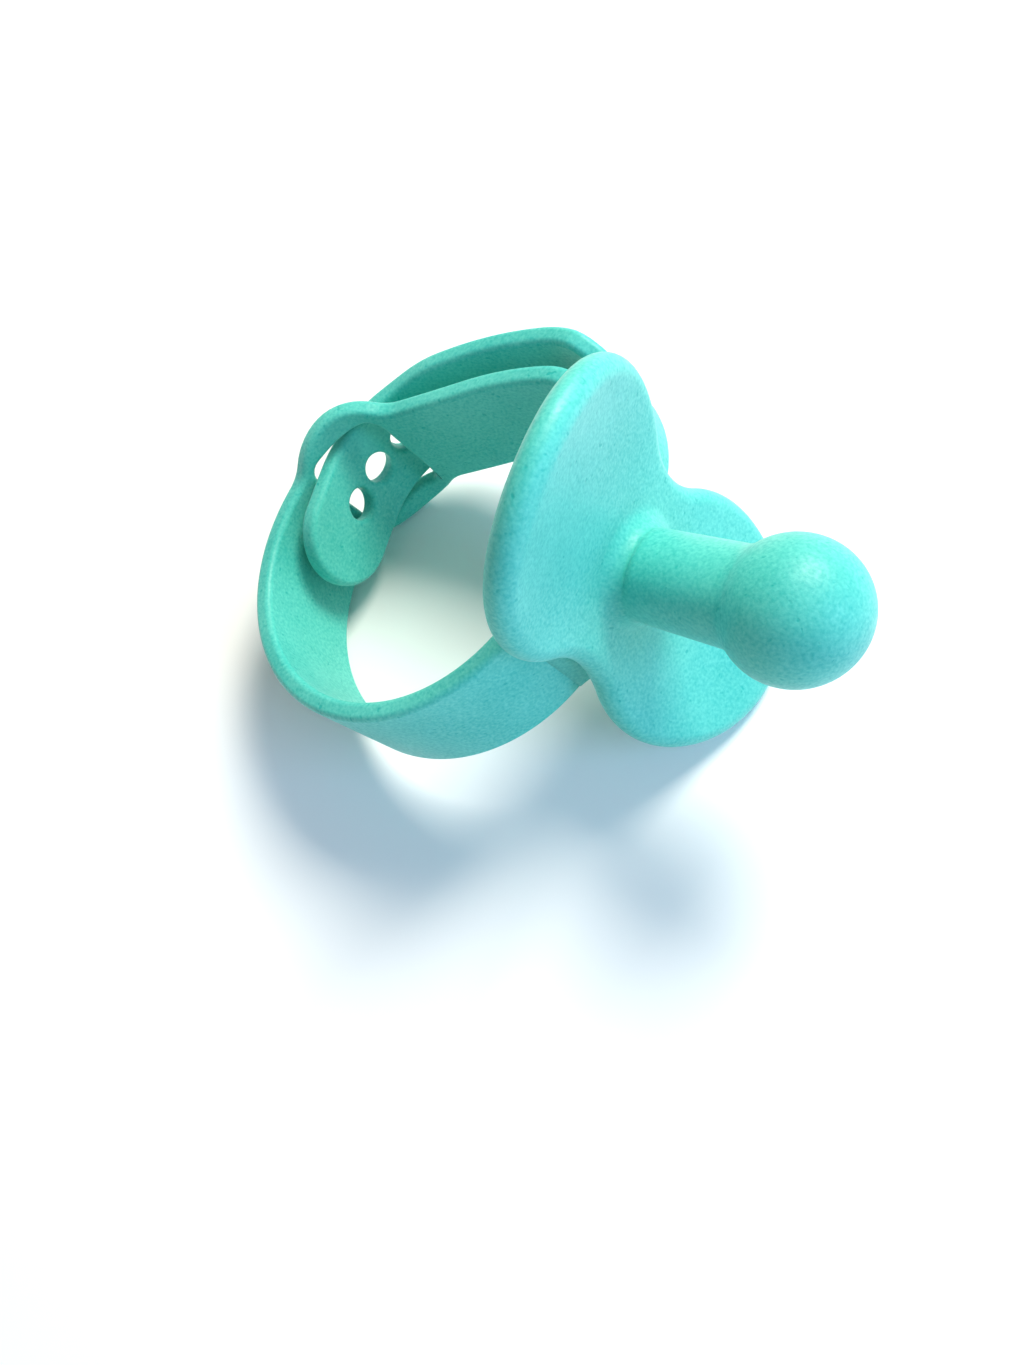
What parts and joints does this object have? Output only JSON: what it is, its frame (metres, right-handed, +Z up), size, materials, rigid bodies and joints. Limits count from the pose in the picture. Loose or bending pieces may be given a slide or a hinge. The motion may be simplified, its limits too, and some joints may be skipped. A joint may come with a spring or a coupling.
{
  "type": "pacifier",
  "caption": "Soft silicone pacifier: round bulb teat on a butterfly shield, with a wide wrist strap that closes by stud and tuck slot",
  "frame": {"origin": "on the table, under the middle of the whole object's box", "axes": "+Z up from the table, with the object lying on its side on one wing, the eye and the strap's edge; +X towards the bulb, below the teat's axis, which rises 20.2 degrees from the table"},
  "size_m": [0.078, 0.0558, 0.0578],
  "materials": {
    "silicone_teat": "satin moulded silicone",
    "silicone_shield": "satin moulded silicone",
    "silicone_strap": "satin moulded silicone",
    "silicone_stud": "satin moulded silicone"
  },
  "bodies": {
    "guard": {"shield": "silicone_shield", "strap_root": "silicone_strap", "slot_arm": "silicone_strap", "eye": "silicone_strap", "stud_tongue": "silicone_strap", "stud": "silicone_stud"},
    "teat": {"teat": "silicone_teat"},
    "hole_arm": {"hole_arm": "silicone_strap"},
    "tail": {"tail": "silicone_strap"}
  },
  "joints": [
    {"name": "strap_open", "type": "hinge", "parent": "guard", "child": "hole_arm", "pos_m": [0.00824, 0.01512, 0.02756], "axis": [0.3408, 0.1511, -0.9279], "range_deg": [0, 40], "stiffness_Nm_per_rad": 0.01},
    {"name": "tail_flap", "type": "hinge", "parent": "hole_arm", "child": "tail", "pos_m": [-0.03113, 0.0049, 0.01144], "axis": [-0.3408, -0.1511, 0.9279], "range_deg": [0, 25], "stiffness_Nm_per_rad": 0.004},
    {"name": "teat_bend", "type": "hinge", "parent": "guard", "child": "teat", "pos_m": [0.01078, 0.00199, 0.02636], "axis": [0.3408, 0.1511, -0.9279], "range_deg": [-8, 8], "stiffness_Nm_per_rad": 0.15}
  ]
}
